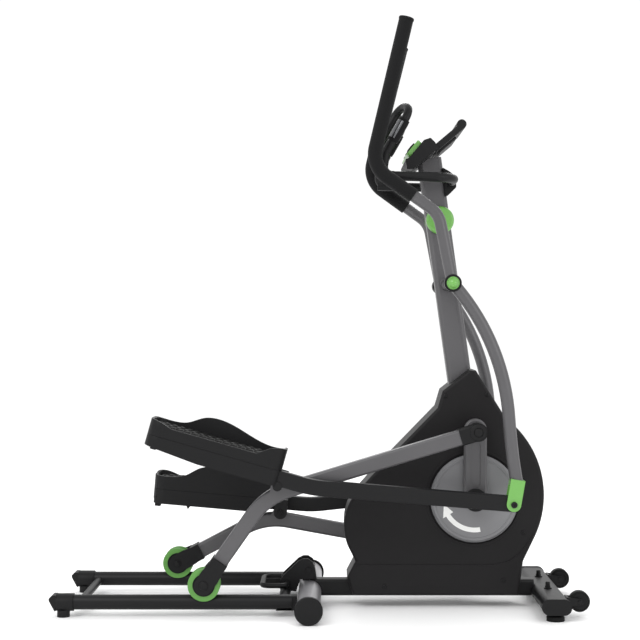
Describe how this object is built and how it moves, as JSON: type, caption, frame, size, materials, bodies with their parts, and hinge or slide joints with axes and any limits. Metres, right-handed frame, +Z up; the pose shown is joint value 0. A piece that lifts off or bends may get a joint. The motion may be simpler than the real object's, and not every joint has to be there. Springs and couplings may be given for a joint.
{
  "type": "elliptical trainer",
  "caption": "Front-drive elliptical trainer with rear rollers on twin rails, swinging handlebars, pedals, flywheel drive and console.",
  "frame": {"origin": "on the floor, under the middle of the bounding box", "axes": "+X forward to the console, +Y to the user's left, +Z up"},
  "size_m": [1.448, 0.588, 1.6045],
  "materials": {
    "grey_metal": "satin",
    "silver_metal": "satin",
    "black_metal": "satin",
    "steel": "brushed",
    "cast_iron": "machined",
    "black_plastic": "matte",
    "shroud_plastic": "satin",
    "disc_plastic": "satin",
    "green_plastic": "gloss",
    "green_rubber": "matte",
    "rubber": "matte",
    "foam": "matte"
  },
  "bodies": {
    "root": {"main_tube": "black_metal", "upright": "grey_metal", "mast": "grey_metal", "rear_stabiliser": "silver_metal", "front_stabiliser": "black_metal", "stabiliser_caps": "black_plastic", "rail_frame": "black_metal", "rail_end_caps": "black_plastic", "fold_bracket": "black_metal", "frame_bolts": "black_metal", "wheel_brackets": "black_metal", "front_feet": "rubber", "shroud_right": "shroud_plastic", "shroud_left": "shroud_plastic", "flywheel_bracket": "grey_metal", "brake_arm": "steel", "belt": "rubber", "pivot_axle": "black_metal", "pivot_caps": "green_plastic", "mast_covers": "green_plastic", "fixed_handlebar": "black_metal", "pulse_grips": "foam", "handlebar_clamp": "black_plastic", "console_housing": "black_plastic", "console_panel": "green_plastic", "tablet_rest": "black_plastic"},
    "crank": {"crank_shaft": "steel", "drive_pulley": "black_plastic", "crank_arm_right": "grey_metal", "crank_arm_left": "grey_metal", "crank_disc_right": "disc_plastic", "crank_disc_left": "disc_plastic"},
    "flywheel_rotor": {"flywheel": "cast_iron", "flywheel_shaft": "steel"},
    "fold_lever": {"fold_lever": "black_metal"},
    "button_minus": {"button_minus": "black_plastic"},
    "button_start": {"button_start": "black_plastic"},
    "button_plus": {"button_plus": "black_plastic"},
    "swing_right": {"swing_arm_right": "grey_metal", "swing_grip_right": "foam", "swing_clevis_right": "green_plastic"},
    "roller_carriage_right": {"roller_axle_right": "steel"},
    "roller_right": {"roller_wheel_right": "green_rubber"},
    "roller_arm_right": {"roller_arm_right": "grey_metal", "roller_arm_ends_right": "black_plastic"},
    "pedal_right": {"pedal_bar_right": "black_metal", "pedal_tray_right": "black_plastic", "pedal_pad_right": "rubber"},
    "transport_wheel_right": {"transport_wheel_right": "rubber"},
    "swing_left": {"swing_arm_left": "grey_metal", "swing_grip_left": "foam", "swing_clevis_left": "green_plastic"},
    "roller_carriage_left": {"roller_axle_left": "steel"},
    "roller_left": {"roller_wheel_left": "green_rubber"},
    "roller_arm_left": {"roller_arm_left": "grey_metal", "roller_arm_ends_left": "black_plastic"},
    "pedal_left": {"pedal_bar_left": "black_metal", "pedal_tray_left": "black_plastic", "pedal_pad_left": "rubber"},
    "transport_wheel_left": {"transport_wheel_left": "rubber"}
  },
  "joints": [
    {"name": "handlebar_right_swing", "type": "hinge", "parent": "root", "child": "swing_right", "pos_m": [0.352, 0, 0.8935], "axis": [0, -1, 0], "range_deg": [0, 17.48]},
    {"name": "handlebar_left_swing", "type": "hinge", "parent": "root", "child": "swing_left", "pos_m": [0.352, 0, 0.8935], "axis": [0, 1, 0], "range_deg": [0, 19.07]},
    {"name": "crank_spin", "type": "hinge", "parent": "root", "child": "crank", "pos_m": [0.424, 0, 0.305], "axis": [0, 1, 0], "continuous": true},
    {"name": "flywheel_spin", "type": "hinge", "parent": "root", "child": "flywheel_rotor", "pos_m": [0.215, 0, 0.235], "axis": [0, 1, 0], "continuous": true},
    {"name": "roller_travel_right", "type": "slide", "parent": "root", "child": "roller_carriage_right", "axis": [1, 0, 0], "range_m": [0, 0.1136]},
    {"name": "roller_spin_right", "type": "hinge", "parent": "roller_carriage_right", "child": "roller_right", "pos_m": [-0.31028, -0.171, 0.0873], "axis": [0, 1, 0], "continuous": true},
    {"name": "roller_arm_pitch_right", "type": "hinge", "parent": "roller_carriage_right", "child": "roller_arm_right", "pos_m": [-0.31028, -0.171, 0.0873], "axis": [0, 1, 0], "range_deg": [0, 14.1]},
    {"name": "pedal_pitch_right", "type": "hinge", "parent": "roller_arm_right", "child": "pedal_right", "pos_m": [-0.1125, -0.171, 0.3556], "axis": [0, -1, 0], "range_deg": [0, 26.11]},
    {"name": "roller_travel_left", "type": "slide", "parent": "root", "child": "roller_carriage_left", "axis": [-1, 0, 0], "range_m": [0, 0.1623]},
    {"name": "roller_spin_left", "type": "hinge", "parent": "roller_carriage_left", "child": "roller_left", "pos_m": [-0.41542, 0.171, 0.0873], "axis": [0, 1, 0], "continuous": true},
    {"name": "roller_arm_pitch_left", "type": "hinge", "parent": "roller_carriage_left", "child": "roller_arm_left", "pos_m": [-0.41542, 0.171, 0.0873], "axis": [0, -1, 0], "range_deg": [0, 13.21]},
    {"name": "pedal_pitch_left", "type": "hinge", "parent": "roller_arm_left", "child": "pedal_left", "pos_m": [-0.117, 0.171, 0.23578], "axis": [0, 1, 0], "range_deg": [0, 20.73]},
    {"name": "transport_wheel_spin_right", "type": "hinge", "parent": "root", "child": "transport_wheel_right", "pos_m": [0.696, -0.167, 0.041], "axis": [0, 1, 0], "continuous": true},
    {"name": "transport_wheel_spin_left", "type": "hinge", "parent": "root", "child": "transport_wheel_left", "pos_m": [0.696, 0.167, 0.041], "axis": [0, 1, 0], "continuous": true},
    {"name": "fold_lever_lift", "type": "hinge", "parent": "root", "child": "fold_lever", "pos_m": [-0.092, 0, 0.064], "axis": [0, 1, 0], "range_deg": [0, 25]},
    {"name": "button_minus_press", "type": "slide", "parent": "root", "child": "button_minus", "axis": [0.7669, 0, -0.6417], "range_m": [0, 0.0015], "stiffness_N_per_m": 400},
    {"name": "button_start_press", "type": "slide", "parent": "root", "child": "button_start", "axis": [0.7669, 0, -0.6417], "range_m": [0, 0.0015], "stiffness_N_per_m": 400},
    {"name": "button_plus_press", "type": "slide", "parent": "root", "child": "button_plus", "axis": [0.7669, 0, -0.6417], "range_m": [0, 0.0015], "stiffness_N_per_m": 400}
  ],
  "couplings": [
    {"joint": "handlebar_left_swing", "follows": "handlebar_right_swing", "ratio": 1.0863},
    {"joint": "crank_spin", "follows": "handlebar_right_swing", "ratio": 5.1491},
    {"joint": "flywheel_spin", "follows": "handlebar_right_swing", "ratio": 32.767},
    {"joint": "roller_travel_right", "follows": "handlebar_right_swing", "m_per_rad": 0.37078},
    {"joint": "roller_spin_right", "follows": "handlebar_right_swing", "ratio": 13.102},
    {"joint": "roller_arm_pitch_right", "follows": "handlebar_right_swing", "ratio": 0.80198},
    {"joint": "pedal_pitch_right", "follows": "handlebar_right_swing", "ratio": 1.4894},
    {"joint": "roller_travel_left", "follows": "handlebar_right_swing", "m_per_rad": 0.53022},
    {"joint": "roller_spin_left", "follows": "handlebar_right_swing", "ratio": -18.736},
    {"joint": "roller_arm_pitch_left", "follows": "handlebar_right_swing", "ratio": 0.75136},
    {"joint": "pedal_pitch_left", "follows": "handlebar_right_swing", "ratio": 1.1813}
  ]
}
